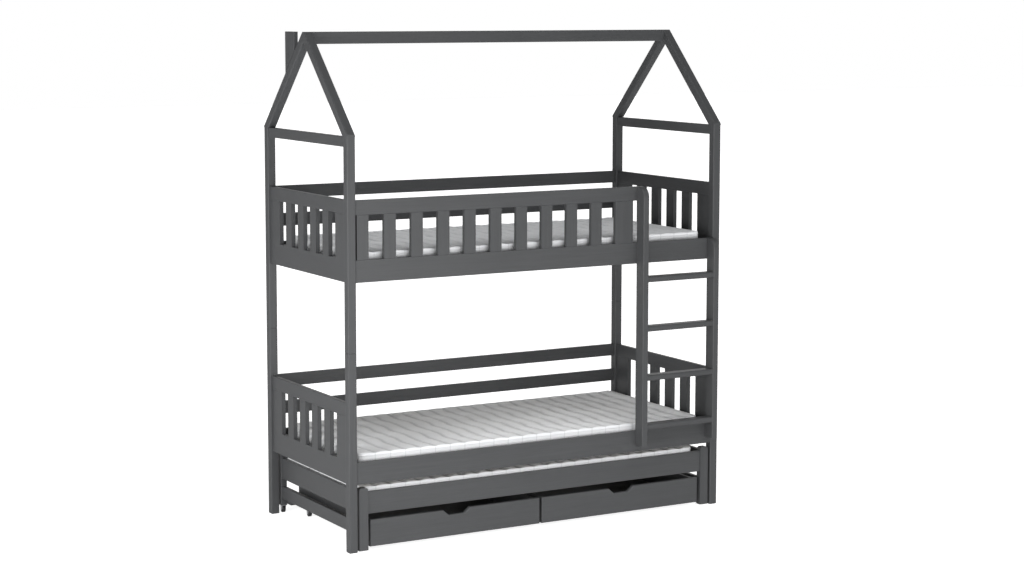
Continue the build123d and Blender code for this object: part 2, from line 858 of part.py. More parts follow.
# Slatted base and mattress of the trundle
trundle_base_y = (front_rail_y[1], rear_rail_y[0])
trundle_base_x = (side_board_x["left"][1], side_board_x["right"][0])
trundle_ledger_x = (
    max(front_rail_x[0], trundle_base_x[0]),
    min(front_rail_x[1], trundle_base_x[1]),
)
trundle_base = ledgers(trundle_ledger_x, trundle_base_y, trundle_rail_bottom, trundle_ledger_height)
trundle_base += slat_row(
    trundle_ledger_x, trundle_base_y, trundle_rail_bottom + trundle_ledger_height, trundle_slat_count
)
save(group(trundle_base), "trundle_slat_base")
trundle_mattress_x = (
    trundle_base_x[0] + trundle_mattress_left_gap,
    trundle_base_x[1] - trundle_mattress_right_gap,
)
trundle_mattress_y = (
    trundle_base_y[0] + trundle_mattress_side_gap,
    trundle_base_y[1] - trundle_mattress_side_gap,
)
trundle_resting = trundle_rail_bottom + trundle_ledger_height + slat_thickness + soft_gap
save(mattress(trundle_mattress_x, trundle_mattress_y, trundle_resting), "trundle_mattress")
save(group([pin(*dowel, dowel_chamfer) for dowel in trundle_dowels]), "trundle_dowels")


# Casters: a bent steel housing, a riveted axle and one wheel
def caster(x, y):
    """Housing and axle of one caster, its plate against what it carries."""
    inner = wheel_width / 2 + wheel_side_gap
    plate_bottom = caster_height - caster_plate_thickness
    with BuildPart() as housing:
        with BuildSketch(Plane.XY.offset(plate_bottom)):
            with Locations((x, y)):
                Rectangle(caster_plate_width, caster_plate_length)
        extrude(amount=caster_plate_thickness)
        for start in (x - inner - caster_cheek_thickness, x + inner):
            with BuildSketch(Plane.YZ.offset(start)):
                with Locations((y, wheel_radius)):
                    Circle(caster_cheek_radius)
                with BuildLine():
                    Polyline(
                        (y - caster_cheek_top / 2, plate_bottom),
                        (y + caster_cheek_top / 2, plate_bottom),
                        (y + caster_cheek_radius, wheel_radius),
                        (y - caster_cheek_radius, wheel_radius),
                        close=True,
                    )
                make_face()
                with Locations((y, wheel_radius)):
                    Circle(axle_radius + axle_fit, mode=Mode.SUBTRACT)
            extrude(amount=caster_cheek_thickness)
    reach = inner + caster_cheek_thickness
    with BuildPart() as axle:
        add(pin((x, y, wheel_radius), along_x, axle_radius, 2 * reach))
        for start in (x - reach - axle_head_height, x + reach):
            with BuildSketch(Plane.YZ.offset(start)):
                with Locations((y, wheel_radius)):
                    Circle(axle_head_radius)
            extrude(amount=axle_head_height)
    return [housing.part, axle.part]


def wheel(x, y):
    """Wheel with rounded treads and a recess round its hub."""
    with BuildPart() as piece:
        with BuildSketch(Plane.YZ.offset(x)):
            with Locations((y, wheel_radius)):
                Circle(wheel_radius)
        extrude(amount=wheel_width / 2, both=True)
        fillet(piece.edges().filter_by(GeomType.CIRCLE), wheel_round)
        for start in (x - wheel_width / 2, x + wheel_width / 2):
            with BuildSketch(Plane.YZ.offset(start)):
                with Locations((y, wheel_radius)):
                    Circle(wheel_recess_radius)
                    Circle(wheel_hub_radius, mode=Mode.SUBTRACT)
            extrude(amount=wheel_recess_depth, both=True, mode=Mode.SUBTRACT)
        with BuildSketch(Plane.YZ.offset(x)):
            with Locations((y, wheel_radius)):
                Circle(axle_radius + axle_fit)
        extrude(amount=wheel_width, both=True, mode=Mode.SUBTRACT)
    return piece.part


def rollers(owner, places):
    """Casters of one moving piece, with each wheel in a node of its own."""
    housings = []
    for name, (x, y) in places.items():
        housings += caster(x, y)
        save(wheel(x, y), f"{owner}_wheel_{name}")
    save(group(housings), f"{owner}_casters")


front_wheel_y = front_post_y[1] + caster_block / 2
rear_wheel_y = middle(rear_post_y)
block_inset = trundle_side_inset + caster_block / 2
rear_inset = trundle_rear_post / 2
rollers(
    "trundle",
    {
        "front_left": (trundle_x[0] + block_inset, front_wheel_y),
        "front_right": (trundle_x[1] - block_inset, front_wheel_y),
        "rear_left": (trundle_x[0] + rear_inset, rear_wheel_y),
        "rear_right": (trundle_x[1] - rear_inset, rear_wheel_y),
    },
)

# Drawers
drawer_front_y = (front + drawer_front_setback, front + drawer_front_setback + drawer_front_thickness)
drawer_back = stop_rail_y[0] - drawer_back_gap
drawer_x = {
    "left": (front_rail_x[0] + drawer_end_gap, middle(front_rail_x) - drawer_gap / 2),
    "right": (middle(front_rail_x) + drawer_gap / 2, front_rail_x[1] - drawer_end_gap),
}


def drawer_front(x):
    """Drawer front with a finger notch in the middle of its upper edge."""
    top = drawer_front_lift + drawer_front_height
    centre = middle(x)
    with BuildPart() as piece:
        with BuildSketch(Plane.XZ.offset(-drawer_front_y[1])):
            with BuildLine():
                Polyline(
                    (x[0], drawer_front_lift),
                    (x[0], top),
                    (centre - notch_top_width / 2, top),
                    (centre - notch_bottom_width / 2, top - notch_depth),
                    (centre + notch_bottom_width / 2, top - notch_depth),
                    (centre + notch_top_width / 2, top),
                    (x[1], top),
                    (x[1], drawer_front_lift),
                    close=True,
                )
            outline = make_face()
            corners = outline.vertices().filter_by(
                lambda corner: abs(corner.X - centre) < notch_top_width
            )
            fillet(corners.group_by(Axis.Z)[-1], notch_top_round)
            fillet(corners.group_by(Axis.Z)[0], notch_bottom_round)
        extrude(amount=drawer_front_thickness)
        fillet(piece.faces().sort_by(Axis.Y)[0].edges(), drawer_front_round)
    return piece.part


def drawer_box(x):
    """Sides, back and bottom of a drawer, on its casters."""
    outer_x = (x[0] + drawer_box_inset, x[1] - drawer_box_inset)
    y = (drawer_front_y[1], drawer_back)
    wall_z = (caster_height + drawer_bottom, caster_height + drawer_bottom + drawer_side_height)
    inner_x = (outer_x[0] + drawer_board, outer_x[1] - drawer_board)
    return group(
        [
            plank(outer_x, y, (caster_height, wall_z[0])),
            plank((outer_x[0], inner_x[0]), y, wall_z),
            plank((inner_x[1], outer_x[1]), y, wall_z),
            plank(inner_x, (y[1] - drawer_board, y[1]), wall_z),
        ]
    )


for side in sides:
    x = drawer_x[side]
    save(drawer_front(x), f"drawer_{side}_front")
    save(drawer_box(x), f"drawer_{side}_box")
    wheel_x = (x[0] + drawer_wheel_side, x[1] - drawer_wheel_side)
    wheel_y = {"front": drawer_front_y[1] + drawer_wheel_front, "rear": drawer_back - drawer_wheel_rear}
    rollers(
        f"drawer_{side}",
        {
            f"{face}_{end}": (wheel_x[number], wheel_y[face])
            for face in faces
            for number, end in enumerate(sides)
        },
    )
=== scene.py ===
import math

import bpy
import numpy as np
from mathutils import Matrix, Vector


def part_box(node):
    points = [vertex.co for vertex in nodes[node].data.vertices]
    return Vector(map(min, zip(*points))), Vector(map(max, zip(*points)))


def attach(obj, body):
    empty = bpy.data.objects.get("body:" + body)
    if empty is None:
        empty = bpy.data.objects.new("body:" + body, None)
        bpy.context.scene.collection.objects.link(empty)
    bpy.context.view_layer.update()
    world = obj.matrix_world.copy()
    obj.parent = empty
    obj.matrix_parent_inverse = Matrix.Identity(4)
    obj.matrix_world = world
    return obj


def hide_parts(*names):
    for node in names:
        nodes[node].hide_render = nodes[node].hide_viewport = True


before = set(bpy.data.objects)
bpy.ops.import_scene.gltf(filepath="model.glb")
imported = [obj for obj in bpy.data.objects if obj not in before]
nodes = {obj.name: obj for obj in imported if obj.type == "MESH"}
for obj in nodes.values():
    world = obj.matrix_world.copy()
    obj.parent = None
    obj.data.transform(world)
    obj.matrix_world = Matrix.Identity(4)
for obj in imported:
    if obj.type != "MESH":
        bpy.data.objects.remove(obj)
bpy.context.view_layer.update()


# The room: a wide pale floor under soft studio light. A large ceiling softbox hangs a
# little in front of the bed, two more stand in front and on the left, and a weak fill
# comes from behind on the right. The camera stands to the left, above a person's head.
def feed(node, values):
    """Set a node's inputs to plain values, or link them to the outputs of other nodes."""
    for name, value in values.items():
        if isinstance(value, bpy.types.NodeSocket):
            node.id_data.links.new(value, node.inputs[name])
        else:
            node.inputs[name].default_value = value


def add_node(tree, kind, values=None, **settings):
    """One more node of a finish, with its settings and its inputs."""
    node = tree.nodes.new("ShaderNode" + kind)
    for name, setting in settings.items():
        setattr(node, name, setting)
    feed(node, values or {})
    return node


def math_step(tree, operation, *values):
    """One step of arithmetic on numbers and outputs."""
    return add_node(tree, "Math", dict(enumerate(values)), operation=operation).outputs[0]


def between(tree, factor, low, high):
    """A number that goes from low to high as the factor goes from 0 to 1."""
    return add_node(tree, "MapRange", {"Value": factor, "To Min": low, "To Max": high}).outputs[0]


def noise(tree, way, scale, detail=2.0, roughness=0.5, distortion=0.0):
    """An uneven pattern of spots, about as many to the metre as the scale says."""
    settings = {"Scale": scale, "Detail": detail, "Roughness": roughness, "Distortion": distortion}
    return add_node(tree, "TexNoise", {"Vector": way, **settings}).outputs["Fac"]


def new_finish(name):
    """A material with its node tree, its shader and the place on the object that it reads."""
    finish = bpy.data.materials.new(name)
    finish.use_nodes = True
    tree = finish.node_tree
    place = add_node(tree, "TexCoord").outputs["Object"]
    return finish, tree, tree.nodes["Principled BSDF"], place


white = (1.0, 1.0, 1.0, 1.0)
white_room = bpy.data.worlds.new("white_room")
white_room.use_nodes = True
bpy.context.scene.world = white_room
room = white_room.node_tree
room_way = add_node(room, "TexCoord").outputs["Generated"]
room_glow = 0.0
# The ceiling softbox and the fill: where each is, how narrow and how strong
for towards, focus, strength in (((0, -0.5, 0.86), 12, 3.9), ((0.6, 0.8, 0.06), 8, 1.3)):
    ways = {0: room_way, 1: Vector(towards).normalized()}
    facing = add_node(room, "VectorMath", ways, operation="DOT_PRODUCT").outputs["Value"]
    softened = math_step(room, "POWER", math_step(room, "MAXIMUM", facing, 0.0), focus)
    room_glow = math_step(room, "MULTIPLY_ADD", softened, strength, room_glow)
# The camera itself sees plain white
room_seen = add_node(room, "LightPath").outputs["Is Camera Ray"]
unseen_glow = math_step(room, "MULTIPLY", room_glow, math_step(room, "SUBTRACT", 1.0, room_seen))
room_strength = math_step(room, "ADD", unseen_glow, room_seen)
feed(room.nodes["Background"], {"Color": white, "Strength": room_strength})

floor_width = 80
floor_drop = 0.0005
bpy.ops.object.select_all(action="DESELECT")
bpy.ops.mesh.primitive_plane_add(size=floor_width, location=(0, 0, -floor_drop))
floor = bpy.context.object
floor.name = "studio_floor"
floor_paint, floor_tree, floor_shader, floor_place = new_finish("pale_floor")
floor_seen = add_node(floor_tree, "LightPath").outputs["Is Camera Ray"]
feed(floor_shader, {
    "Base Color": between(floor_tree, noise(floor_tree, floor_place, 3.0), 0.80, 0.84),
    "Roughness": 0.85,
    "Specular IOR Level": 0.2,
    "Emission Color": white,
    "Emission Strength": between(floor_tree, floor_seen, 0.20, 0.85),
})
floor.data.materials.append(floor_paint)

# Each softbox by its place, what it is turned to, its size and its power in watts
for name, place, target, size, power in (
    ("softbox_front", (-0.7, -4.6, 0.8), (0.2, 0, 0.8), (5.6, 1.2), 120),
    ("softbox_left", (-4.5, -1.5, 1.2), (0, 0, 1.1), (2.0, 2.0), 138),
):
    softbox = bpy.data.lights.new(name, "AREA")
    softbox.shape = "RECTANGLE"
    softbox.size, softbox.size_y = size
    softbox.energy = power
    softbox_stand = bpy.data.objects.new(name, softbox)
    softbox_stand.location = place
    softbox_way = Vector(target) - Vector(place)
    softbox_stand.rotation_euler = softbox_way.to_track_quat("-Z", "Y").to_euler()
    bpy.context.scene.collection.objects.link(softbox_stand)

camera_looks_down = 6.413
camera_turned = -29.431
lens = bpy.data.cameras.new("photo_camera")
lens.sensor_width = 36
lens.lens = 75.144
lens.shift_x = 0.0187
lens.shift_y = -0.04
lens.clip_end = 200
camera = bpy.data.objects.new("photo_camera", lens)
camera.location = (-4.9888, -8.7980, 2.4099)
camera.rotation_euler = (math.radians(90 - camera_looks_down), 0, math.radians(camera_turned))
bpy.context.scene.collection.objects.link(camera)
bpy.context.scene.camera = camera
bpy.context.scene.view_settings.view_transform = "Standard"


# Posts: square pine in two lengths, one dowelled on the other, with rounded corners.
# Every painted board has the same satin graphite paint, sprayed and rubbed down, so
# that the grain just shows as fine lines along the wood.
def blend(tree, *parts):
    """The sum of several outputs, each multiplied by its share."""
    shares = [math_step(tree, "MULTIPLY", output, share) for output, share in parts]
    total = shares[0]
    for share in shares[1:]:
        total = math_step(tree, "ADD", total, share)
    return total


def tone_between(tree, factor, dark, light, start=0.0, end=1.0):
    """A colour that goes from dark to light as the factor goes from start to end."""
    ramp = add_node(tree, "ValToRGB", {"Fac": factor})
    for stop, position, colour in zip(ramp.color_ramp.elements, (start, end), (dark, light)):
        stop.position = position
        stop.color = (*colour, 1)
    return ramp.outputs["Color"]


def fine_relief(tree, height, strength, depth):
    """Relief that is too fine to model, at most as deep as said."""
    values = {"Height": height, "Strength": strength, "Distance": depth}
    return add_node(tree, "Bump", values).outputs[0]


def graphite_paint(name, grain_way):
    """The paint with its grain along X, Y or Z, along a rafter, or as a panel's boards lie."""
    paint, tree, shader, place = new_finish(name)
    x, y, z = add_node(tree, "SeparateXYZ", {0: place}).outputs
    if grain_way == "X":
        across, over, along = y, z, x
    elif grain_way == "Y":
        across, over, along = x, z, y
    elif grain_way == "Z":
        across, over, along = x, y, z
    elif grain_way == "rafter":
        slant = 0.7071
        inward = math_step(tree, "ABSOLUTE", y)
        across = x
        over = math_step(tree, "MULTIPLY", math_step(tree, "ADD", z, inward), slant)
        along = math_step(tree, "MULTIPLY", math_step(tree, "SUBTRACT", z, inward), slant)
    else:
        # Boards that lie flat under and over upright bars, between two heights
        flat_way, low, high = grain_way
        over_low = math_step(tree, "GREATER_THAN", z, low)
        upright = math_step(tree, "MULTIPLY", over_low, math_step(tree, "LESS_THAN", z, high))
        flat = math_step(tree, "SUBTRACT", 1.0, upright)
        run, across = (x, y) if flat_way == "X" else (y, x)
        over = blend(tree, (run, upright), (z, flat))
        along = blend(tree, (z, upright), (run, flat))
    grain_stretch = 0.035
    stretched = math_step(tree, "MULTIPLY", along, grain_stretch)
    wood = add_node(tree, "CombineXYZ", {0: across, 1: over, 2: stretched}).outputs[0]

    grain = noise(tree, wood, 190, detail=5, roughness=0.62)
    bands = noise(tree, wood, 42, detail=3, distortion=0.35)
    clouds = noise(tree, place, 3.2)
    spray = noise(tree, place, 1100)
    mixed = blend(tree, (grain, 0.45), (bands, 0.3), (clouds, 0.25))
    relief = blend(tree, (grain, 0.8), (spray, 0.2))
    dark_graphite = (0.0525, 0.0540, 0.0560)
    light_graphite = (0.0690, 0.0708, 0.0735)
    feed(shader, {
        "Base Color": tone_between(tree, mixed, dark_graphite, light_graphite, 0.3, 0.7),
        "Roughness": between(tree, mixed, 0.36, 0.54),
        "Specular IOR Level": 0.27,
        "Normal": fine_relief(tree, relief, 0.55, 0.0004),
    })
    return paint


def finish_nodes(material, *names):
    """Give CAD pieces a material in place of their plain one."""
    for name in names:
        for slot in nodes[name].material_slots:
            slot.material = material


paint_along_x = graphite_paint("graphite_paint_along_x", "X")
paint_along_y = graphite_paint("graphite_paint_along_y", "Y")
paint_along_z = graphite_paint("graphite_paint_along_z", "Z")
finish_nodes(paint_along_z, *[name for name in nodes if name.startswith("post_")])

# Side rails: deep pine boards between the posts, two under each bed. They are dowelled
# into the posts and drawn up by cam fittings.
finish_nodes(paint_along_x, *[name for name in nodes if name.startswith("side_rail_")])

# End panels: a deep and a narrow board with flush bars glued between them, filled and
# painted as one surface, so that only the slots show.
panel_rail = 0.100
panel_top_board = 0.062
for level in ("lower", "upper"):
    left_panel, right_panel = "end_panel_" + level + "_left", "end_panel_" + level + "_right"
    bottom, top = (corner.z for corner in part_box(left_panel))
    bars_stand = ("Y", bottom + panel_rail, top - panel_top_board)
    finish_nodes(graphite_paint("graphite_paint_panel_" + level, bars_stand), left_panel, right_panel)

# Guard of the upper bed: a long top board on flush bars that stand on the front rail.
# It ends at the ladder, where the way up is left open.
guard_top_board = 0.066
guard_low, guard_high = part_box("guard_panel")
guard_bars_stand = ("X", guard_low.z, guard_high.z - guard_top_board)
finish_nodes(graphite_paint("graphite_paint_guard", guard_bars_stand), "guard_panel")

# Boards on the wall side: two over each bed, dowelled between the rear posts, to keep
# the sleeper and the mattress from the wall.
finish_nodes(paint_along_x, "rear_boards")


# Slatted bases: planed pine slats laid across two strips that are screwed to the rails.
# The wood is bare, with a fine grain, soft darker bands and a few small knots.
def bare_wood(name, light_tone, dark_tone, strip_top=None):
    """Planed wood with its grain along Y. What lies below strip_top has it along X."""
    wood, tree, shader, place = new_finish(name)
    grain_stretch = 0.05
    way = add_node(tree, "Mapping", {"Vector": place, "Scale": (1, grain_stretch, 1)}).outputs[0]
    if strip_top is not None:
        strip_way = add_node(tree, "Mapping", {"Vector": place, "Scale": (grain_stretch, 1, 1)})
        height = add_node(tree, "SeparateXYZ", {0: place}).outputs["Z"]
        above = math_step(tree, "GREATER_THAN", height, strip_top)
        ways = {"Factor": above, 4: strip_way.outputs[0], 5: way}
        way = add_node(tree, "Mix", ways, data_type="VECTOR").outputs[1]
    rings = noise(tree, way, 70, detail=6, roughness=0.6, distortion=0.6)
    fibre = noise(tree, way, 900, detail=3)
    knots = add_node(tree, "TexVoronoi", {"Vector": place, "Scale": 5.5}).outputs["Distance"]
    knot_edge = add_node(tree, "MapRange", {"Value": knots, "From Min": 0.02, "From Max": 0.075})
    knot_tone = (*[part * 0.45 for part in dark_tone], 1)
    tone = tone_between(tree, rings, dark_tone, light_tone, 0.32, 0.62)
    tones = {"Factor": knot_edge.outputs[0], 6: knot_tone, 7: tone}
    feed(shader, {
        "Base Color": add_node(tree, "Mix", tones, data_type="RGBA").outputs[2],
        "Roughness": between(tree, rings, 0.55, 0.72),
        "Specular IOR Level": 0.35,
        "Normal": fine_relief(tree, fibre, 0.5, 0.0003),
    })
    return wood


pine_light = (0.73, 0.685, 0.61)
pine_dark = (0.61, 0.56, 0.48)
slat_thickness = 0.018
slat_clearance = 0.0005
for base in ("slat_base_lower", "slat_base_upper"):
    strip_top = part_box(base)[1].z - slat_thickness - slat_clearance
    pine = bare_wood(base.replace("slat_base", "pine_slats"), pine_light, pine_dark, strip_top)
    finish_nodes(pine, base)

# Mattresses: foam blocks in a white knitted cover. The top is quilted in wavy channels
# across the bed, each about a hand wide, and the border band is corded along both edges
# and stitched down at every channel. The cover swells between its stitches.
channel_width = 0.0745
border_height = 0.086


def mattress_shape(name, low, high):
    """One mattress as a closed mesh: quilted top, drawn-in border and flat underside."""
    length, width, height = high - low
    channels = round(length / channel_width)
    pitch = length / channels
    corner = 0.028
    row_count = 113
    # The columns are closer together beside the seams
    steps = np.array([0, 0.003, 0.007, 0.013, 0.020, 0.028]) / channel_width
    across = np.concatenate([steps, [0.5], 1 - steps[:0:-1]])
    columns = np.append((np.arange(channels)[:, None] + across).ravel() * pitch, length)
    rows = np.linspace(0, width, row_count)
    # The levels are closer together at the edges, the cords and the stitched lines
    stitch_lines = np.array([0.0275, 0.0510]) * height / border_height
    cord_lines = np.array([0.0075, 0.0745]) * height / border_height
    levels = [0, 0.0035, 0.0060, 0.0075, 0.0090, 0.012, 0.018, 0.024, 0.0275, 0.031, 0.039]
    levels += [0.047, 0.0510, 0.055, 0.063, 0.070, 0.073, 0.0745, 0.076, 0.0785, 0.082, 0.086]
    levels = np.array(levels) * height / border_height

    # The skin of a grid of lines. Underneath, only the rim keeps the fine grid
    last_x, last_y, last_z = len(columns) - 1, len(rows) - 1, len(levels) - 1
    rim = 4
    number_of = {}
    points = []
    faces = []

    def corner_point(i, j, k):
        if (i, j, k) not in number_of:
            number_of[i, j, k] = len(points)
            points.append((columns[i], rows[j], levels[k]))
        return number_of[i, j, k]

    def add_face(*corners):
        faces.append([corner_point(*place) for place in corners])

    for i in range(last_x):
        for j in range(last_y):
            add_face((i, j, last_z), (i + 1, j, last_z), (i + 1, j + 1, last_z), (i, j + 1, last_z))
            if i < rim or i >= last_x - rim or j < 1 or j >= last_y - 1:
                add_face((i, j + 1, 0), (i + 1, j + 1, 0), (i + 1, j, 0), (i, j, 0))
        if rim <= i < last_x - rim:
            right_side = range(1, last_y) if i + 1 == last_x - rim else (1, last_y - 1)
            left_side = range(last_y - 1, 0, -1) if i == rim else (last_y - 1, 1)
            strip = [(i + 1, j, 0) for j in right_side] + [(i, j, 0) for j in left_side]
            add_face(*strip[::-1])
    for k in range(last_z):
        up = k + 1
        for i in range(last_x):
            add_face((i, 0, k), (i + 1, 0, k), (i + 1, 0, up), (i, 0, up))
            add_face((i, last_y, up), (i + 1, last_y, up), (i + 1, last_y, k), (i, last_y, k))
        for j in range(last_y):
            add_face((0, j, up), (0, j + 1, up), (0, j + 1, k), (0, j, k))
            add_face((last_x, j, k), (last_x, j + 1, k), (last_x, j + 1, up), (last_x, j, up))

    touch = 1e-6
    x, y, z = np.array(points).T
    on_top, on_floor = z > height - touch, z < touch
    on_side = (y < touch) | (y > width - touch)
    on_end = (x < touch) | (x > length - touch)
    on_wall = (on_side | on_end) & ~on_top & ~on_floor

    # Distance from the nearest seam, measured before the seams are bent into waves
    end_pitch = width / round(width / channel_width)
    seam_number = np.round(x / pitch)
    from_seam = np.abs(x - seam_number * pitch)
    from_end_seam = np.abs(y - np.round(y / end_pitch) * end_pitch)
    from_seam = np.where(on_end & ~on_side & ~on_top, from_end_seam, from_seam)
    from_seam = np.where(on_top & (seam_number % channels == 0), pitch - from_seam, from_seam)
    half = np.clip(from_seam / (pitch / 2), 0, 1)
    inside = np.minimum(np.minimum(x, length - x), np.minimum(y, width - y))
    wave_length, wave_depth, straight_border = 0.255, 0.0052, 0.05
    wave = np.sin(2 * math.pi * y / wave_length + 0.6 + 0.25 * np.sin(0.9 * seam_number))
    bend = wave_depth * wave * np.clip(inside / straight_border, 0, 1)

    # Each corner square is drawn in to a quarter disc
    tiny = 1e-9
    for centre_x, sign_x in ((corner, -1), (length - corner, 1)):
        for centre_y, sign_y in ((corner, -1), (width - corner, 1)):
            dx, dy = (x - centre_x) * sign_x, (y - centre_y) * sign_y
            in_corner = (dx > 0) & (dy > 0)
            shrink = np.maximum(dx, dy) / np.maximum(np.hypot(dx, dy), tiny)
            x = np.where(in_corner, centre_x + sign_x * dx * shrink, x)
            y = np.where(in_corner, centre_y + sign_y * dy * shrink, y)

    # The way outwards at the border, and the distance in from it
    out_x = x - np.clip(x, corner, length - corner)
    out_y = y - np.clip(y, corner, width - corner)
    reach = np.hypot(out_x, out_y)
    nearer_end = np.minimum(x, length - x) < np.minimum(y, width - y)
    rim_x = np.where(nearer_end, np.sign(x - length / 2), 0)
    rim_y = np.where(nearer_end, 0, np.sign(y - width / 2))
    out_x = np.where(reach > touch, out_x / np.maximum(reach, tiny), rim_x)
    out_y = np.where(reach > touch, out_y / np.maximum(reach, tiny), rim_y)
    way_in = np.where(reach > touch, corner - reach, inside)

    # Upper and lower edges are rolled over: the edge's height, its side, how far down and in
    for edge_z, sign_z, down, inwards in ((height, 1, 0.0045, 0.005), (0.0, -1, 0.006, 0.007)):
        a = np.clip((inwards - way_in) / inwards, 0, 1)
        b = np.clip((down - (edge_z - z) * sign_z) / down, 0, 1)
        both = (a > 0) & (b > 0)
        shrink = np.maximum(a, b) / np.maximum(np.hypot(a, b), tiny)
        x = np.where(both, x - out_x * (inwards * (1 - a * shrink) - way_in), x)
        y = np.where(both, y - out_y * (inwards * (1 - a * shrink) - way_in), y)
        z = np.where(both, edge_z - sign_z * down * (1 - b * shrink), z)

    # Border: drawn in at its waist, grooved along its stitches, with a cord at both edges
    waist_height, waist_reach, waist_depth = 0.46, 0.42, 0.0006
    seam_depth, seam_width = 0.0006, 0.0035
    stitch_depth, stitch_width = 0.0012, 0.0025
    cord_bulge, cord_width = 0.0012, 0.0014
    groove_depth, groove_width, groove_off_cord = 0.0010, 0.0012, 0.0035
    waist = np.clip(1 - np.abs(z / height - waist_height) / waist_reach, 0, 1) ** 0.5
    dip = waist_depth * waist + seam_depth * np.exp(-((from_seam / seam_width) ** 2))
    for line in stitch_lines:
        dip += stitch_depth * np.exp(-(((z - line) / stitch_width) ** 2))
    for line in cord_lines:
        off_groove = np.abs(z - line) - groove_off_cord
        dip += groove_depth * np.exp(-((off_groove / groove_width) ** 2))
        dip -= cord_bulge * np.exp(-(((z - line) / cord_width) ** 2))
    x = np.where(on_wall, x - out_x * dip, x)
    y = np.where(on_wall, y - out_y * dip, y)

    # Quilted top: rounded channels with small gathers along their seams
    wide_spacing, fine_spacing = 0.031, 0.0205
    wide_gather = 2 * math.pi * y / wide_spacing + 2.3 * seam_number
    fine_gather = 2 * math.pi * y / fine_spacing - 1.1 * seam_number
    gather = np.sin(wide_gather + 1.7 * np.sin(y * 37 + seam_number))
    gather += 0.7 * np.sin(fine_gather + 1.3 * np.sin(y * 53 - seam_number))
    channel_depth, gather_depth, lump_depth = 0.0108, 0.0006, 0.0006
    sink = channel_depth * (1 - half) ** 1.7 * (1 + 0.15 * np.sin(y * 41 + 1.9 * seam_number))
    sink += gather_depth * gather * (1 - half) * np.clip(half * 5, 0, 1)
    sink -= lump_depth * np.sin(x * 7.3 + 1.1) * np.sin(y * 9.1 + 0.4)
    # The channels get shallower towards the border
    border_share, deepens_from, deepens_over = 0.14, 0.003, 0.034
    deepening = np.clip((way_in - deepens_from) / deepens_over, 0, 1) ** 0.8
    share = border_share + (1 - border_share) * deepening
    z = z - np.where(on_top, sink * share, 0)
    x = x + np.where(on_top, bend, 0)

    mesh = bpy.data.meshes.new(name)
    mesh.from_pydata(np.stack([x + low.x, y + low.y, z + low.z], 1).tolist(), [], faces)
    mesh.update()
    # What the cover's material reads for its painted seam shade and its thread: the painted shade at
    # a seam is fainter on the border, and there is none below
    far_from_seam, border_offset = 0.03, 0.0065
    shown_seam = np.where(on_wall, border_offset + from_seam * 2, from_seam)
    shown_seam = np.where(on_floor & ~on_side & ~on_end, far_from_seam, shown_seam)
    mark = mesh.attributes.new("from_seam", "FLOAT", "POINT")
    mark.data.foreach_set("value", shown_seam.astype(np.float32))
    piece = bpy.data.objects.new(name, mesh)
    bpy.context.scene.collection.objects.link(piece)
    # What the stitches, the edges and the border's lines hold fast when the cover swells
    held_at_seam, held_at_edge, held_at_line = 0.0005, 0.0075, 0.0012
    sewn = on_floor | (from_seam < held_at_seam) | (way_in < held_at_edge)
    for line in (*stitch_lines, *cord_lines):
        sewn |= on_wall & (np.abs(z - line) < held_at_line)
    group = piece.vertex_groups.new(name="sewn")
    group.add(np.flatnonzero(sewn).tolist(), 1.0, "REPLACE")
    return piece


def swell(piece):
    """Lets the cover swell between its stitches, with a little spare cloth that gathers."""
    last_moment = 14
    most = 0.0040
    bpy.context.view_layer.objects.active = piece
    cover = piece.modifiers.new("cover", "CLOTH")
    cloth = cover.settings
    cloth.quality = 4
    cloth.mass = 0.15
    cloth.tension_stiffness = cloth.compression_stiffness = 12
    cloth.shear_stiffness = 4
    cloth.bending_stiffness = 0.08
    cloth.air_damping = 3
    cloth.use_pressure = True
    cloth.uniform_pressure_force = 4
    cloth.shrink_min = -0.015
    cloth.vertex_group_mass = "sewn"
    cloth.effector_weights.gravity = 0
    cover.collision_settings.use_collision = False
    cover.point_cache.frame_start = 1
    cover.point_cache.frame_end = last_moment
    before = np.empty(len(piece.data.vertices) * 3, np.float32)
    piece.data.vertices.foreach_get("co", before)
    for moment in range(1, last_moment + 1):
        bpy.context.scene.frame_set(moment)
    swollen = piece.evaluated_get(bpy.context.evaluated_depsgraph_get())
    after = np.empty_like(before)
    swollen.data.vertices.foreach_get("co", after)
    piece.modifiers.remove(cover)
    bpy.context.scene.frame_set(1)
    move = (after - before).reshape(-1, 3)
    size = np.linalg.norm(move, axis=1, keepdims=True)
    move *= np.minimum(1, most * np.tanh(size / most) / np.maximum(size, 1e-9))
    piece.data.vertices.foreach_set("co", (before.reshape(-1, 3) + move).ravel())
    piece.data.update()


